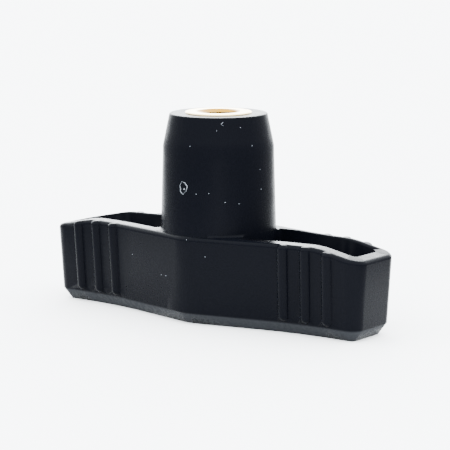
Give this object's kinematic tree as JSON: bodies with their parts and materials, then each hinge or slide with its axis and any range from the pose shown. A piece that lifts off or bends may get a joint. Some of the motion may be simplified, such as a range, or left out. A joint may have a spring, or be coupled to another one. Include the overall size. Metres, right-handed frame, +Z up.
{
  "type": "T-handle clamping knob",
  "caption": "Black moulded T-handle with a tall round hub and a flush brass insert with a blind M10 thread.",
  "frame": {"origin": "middle of the palm face, on the hub axis", "axes": "+Z up the hub axis towards the insert's open end, +X along the grip"},
  "size_m": [0.0974, 0.0312, 0.0526],
  "materials": {
    "moulding": "semi-gloss black moulded plastic",
    "insert": "turned"
  },
  "bodies": {
    "root": {"handle_body": "moulding", "threaded_insert": "insert"}
  },
  "joints": []
}
